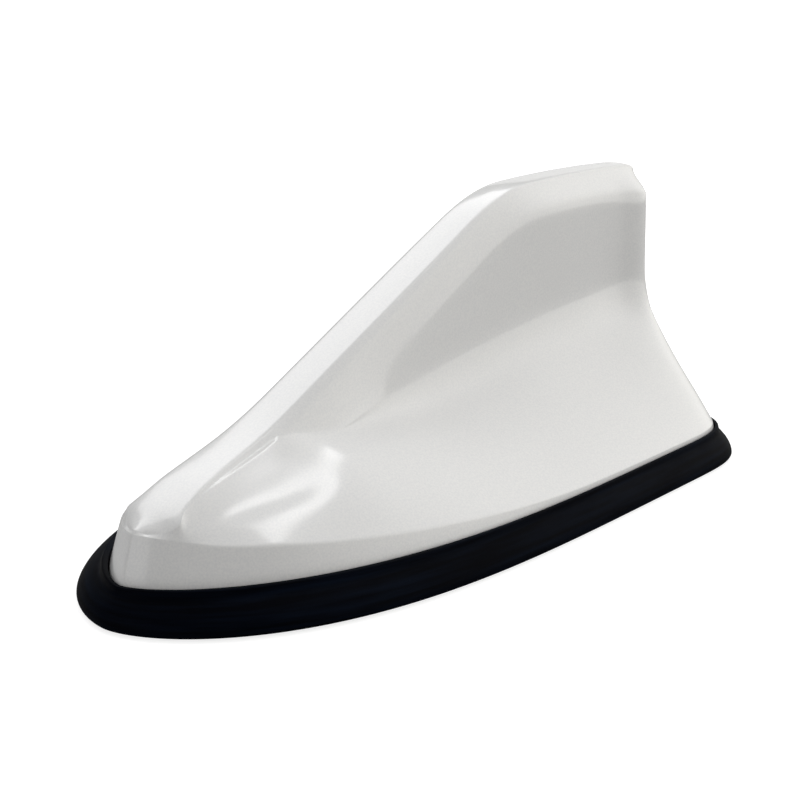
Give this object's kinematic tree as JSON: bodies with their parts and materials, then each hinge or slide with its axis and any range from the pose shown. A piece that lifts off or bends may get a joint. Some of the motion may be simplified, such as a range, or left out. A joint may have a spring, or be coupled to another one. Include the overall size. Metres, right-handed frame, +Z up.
{
  "type": "shark fin aerial",
  "caption": "Glued-on roof aerial for a car: a glossy white fin-shaped cover on a black rubber skirt, with a base plate, foam pads, lead gland, amplifier board, coil and radiator inside.",
  "frame": {"origin": "centre of the outer box on the roof plane, under the skirt", "axes": "-X to the nose, +X to the tail, +Y to the car's right side as the nose points forward, +Z up from the roof"},
  "size_m": [0.162, 0.076, 0.062],
  "materials": {
    "white_paint": "pearl gloss",
    "black_rubber": "satin",
    "seal_rubber": "matt",
    "black_plastic": "fine grain",
    "steel": "zinc plated",
    "foam": "closed-cell foam tape",
    "foil": "bright foil",
    "board": "solder resist",
    "plated_brass": "plated",
    "can_metal": "tinned",
    "chip_black": "moulded",
    "can_aluminium": "sleeved can",
    "ferrite": "ferrite",
    "copper": "enamelled copper",
    "ceramic": "ceramic",
    "former_plastic": "natural"
  },
  "bodies": {
    "root": {"fin_shell": "white_paint", "rubber_skirt": "black_rubber", "foot_seal": "seal_rubber", "base_plate": "black_plastic", "cover_screws": "steel", "front_pad": "foam", "rear_pad": "foam", "lead_gland": "seal_rubber", "coupling_foil": "foil", "circuit_board": "board", "board_screws": "steel", "lead_socket": "plated_brass", "shield_can": "can_metal", "amplifier_chip": "chip_black", "tank_capacitor": "can_aluminium", "choke_core": "ferrite", "choke_winding": "copper", "chip_resistors": "chip_black", "chip_capacitors": "ceramic", "coil_former": "former_plastic", "loading_coil": "copper", "terminal_pins": "plated_brass", "radiator_holder": "former_plastic", "radiator_plate": "plated_brass", "radiator_lug": "plated_brass"}
  },
  "joints": []
}
